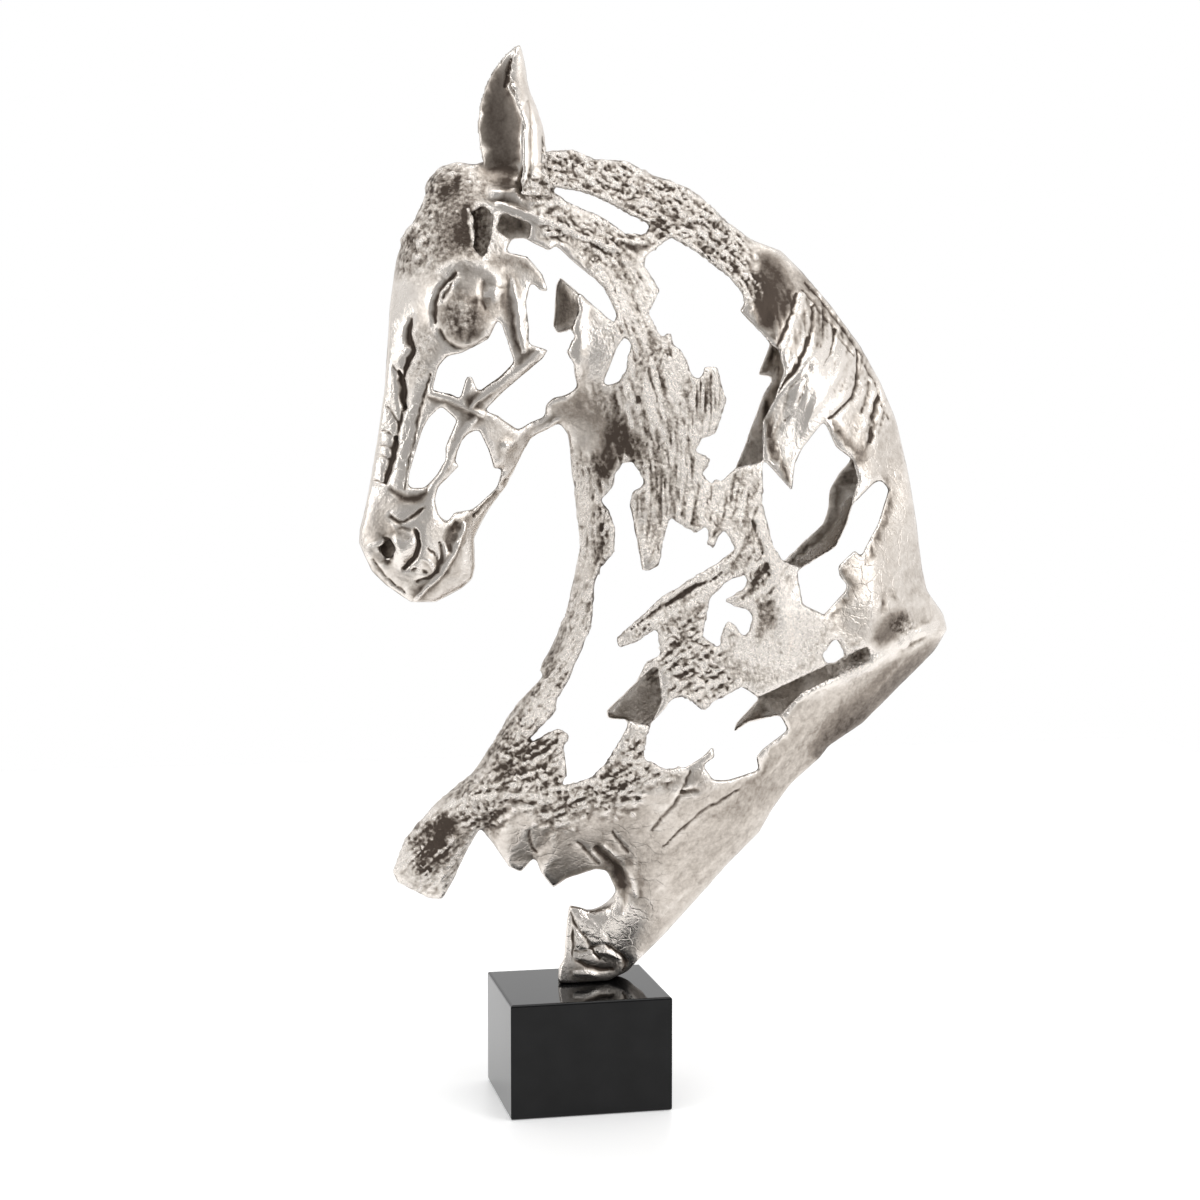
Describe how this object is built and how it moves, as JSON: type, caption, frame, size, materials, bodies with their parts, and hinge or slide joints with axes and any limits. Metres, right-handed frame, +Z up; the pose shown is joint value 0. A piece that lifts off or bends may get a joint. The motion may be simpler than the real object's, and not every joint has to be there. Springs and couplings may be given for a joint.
{
  "type": "horse head sculpture",
  "caption": "Openwork cast metal horse head and arched neck, torn open on both sides, standing on a small foot on a polished black block.",
  "frame": {"origin": "middle of the black block's underside", "axes": "+Z up, the horse looks along -X, its near side faces -Y"},
  "size_m": [0.415, 0.1246, 0.7075],
  "materials": {
    "cast_metal": "rough cast, silvered and rubbed back, brown-grey in the hollows",
    "polished_block": "polished black, mirror smooth"
  },
  "bodies": {
    "root": {"horse_head": "cast_metal", "plinth_block": "polished_block"}
  },
  "joints": []
}
